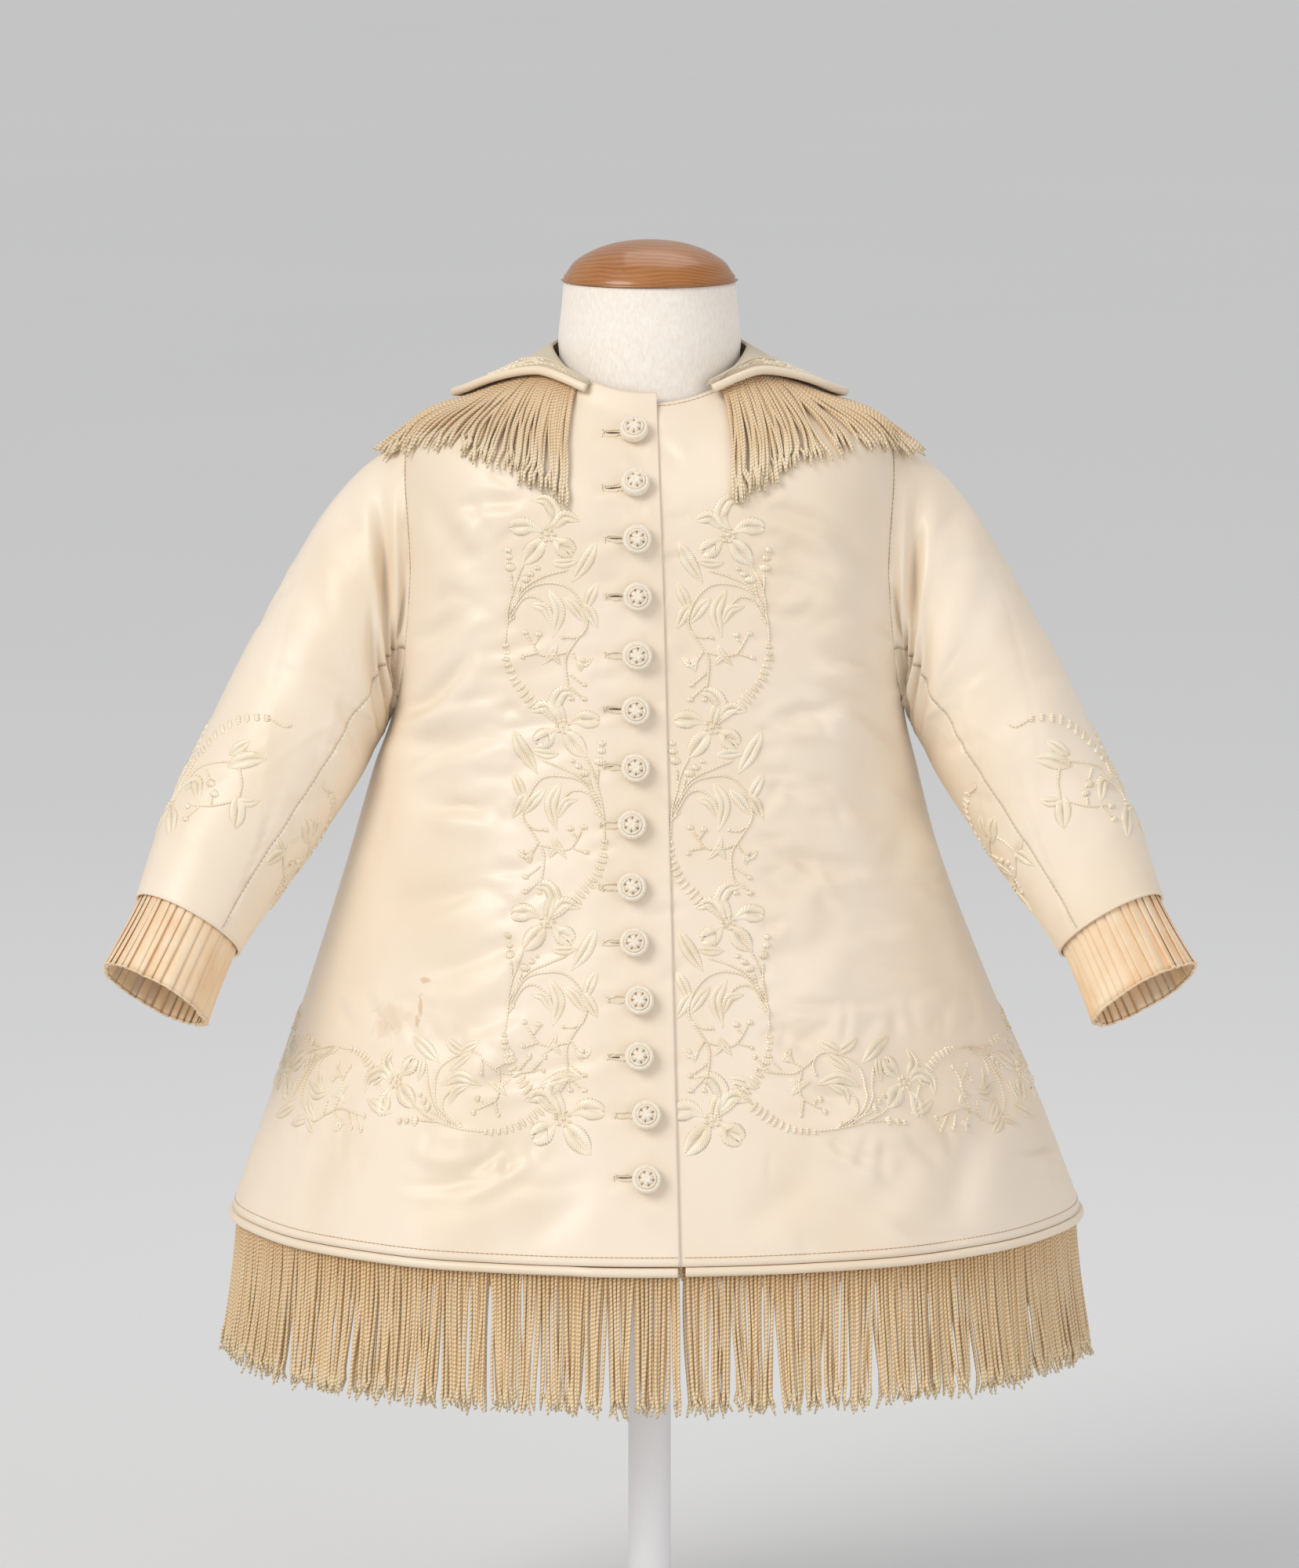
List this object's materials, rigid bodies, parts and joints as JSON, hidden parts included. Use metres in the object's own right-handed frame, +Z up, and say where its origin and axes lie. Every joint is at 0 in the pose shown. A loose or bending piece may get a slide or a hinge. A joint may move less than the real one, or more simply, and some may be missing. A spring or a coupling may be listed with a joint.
{
  "type": "child's fringed coat on a dress form stand",
  "caption": "Flared silk-satin child's coat with fringed cape collar and hem, pleated cuffs and a buttoned front, on a limbless dress form and pole stand.",
  "frame": {"origin": "centre of the stand base's underside, on the floor", "axes": "+Z up along the pole; -Y towards the coat's front; +X towards the wearer's left"},
  "size_m": [0.5534, 0.326, 0.7493],
  "materials": {
    "silk_satin": "ivory silk satin, soft lustre, embroidered in silk",
    "satin_piping": "satin bias piping over a cord",
    "pleated_silk": "pale peach knife-pleated silk with a picot edge",
    "silk_fringe": "twisted silk cord fringe",
    "crocheted_silk": "crocheted silk thread over a mould",
    "cotton_jersey": "matt cream cotton jersey",
    "turned_beech": "turned and waxed beech",
    "painted_steel": "pale grey satin paint"
  },
  "bodies": {
    "root": {"front_right": "silk_satin", "front_left": "silk_satin", "back": "silk_satin", "sleeve_upper_right": "silk_satin", "sleeve_under_right": "silk_satin", "sleeve_upper_left": "silk_satin", "sleeve_under_left": "silk_satin", "collar": "silk_satin", "collar_piping": "satin_piping", "hem_piping_right": "satin_piping", "hem_piping_left": "satin_piping", "hem_piping_back": "satin_piping", "cuff_frill_right": "pleated_silk", "cuff_frill_left": "pleated_silk", "fringe_hem_right": "silk_fringe", "fringe_hem_left": "silk_fringe", "fringe_hem_back": "silk_fringe", "fringe_collar": "silk_fringe", "button_01": "crocheted_silk", "button_02": "crocheted_silk", "button_03": "crocheted_silk", "button_04": "crocheted_silk", "button_05": "crocheted_silk", "button_06": "crocheted_silk", "button_07": "crocheted_silk", "button_08": "crocheted_silk", "button_09": "crocheted_silk", "button_10": "crocheted_silk", "button_11": "crocheted_silk", "button_12": "crocheted_silk", "button_13": "crocheted_silk", "button_14": "crocheted_silk", "form_torso": "cotton_jersey", "form_cap": "turned_beech", "pole": "painted_steel", "base": "painted_steel"}
  },
  "joints": []
}
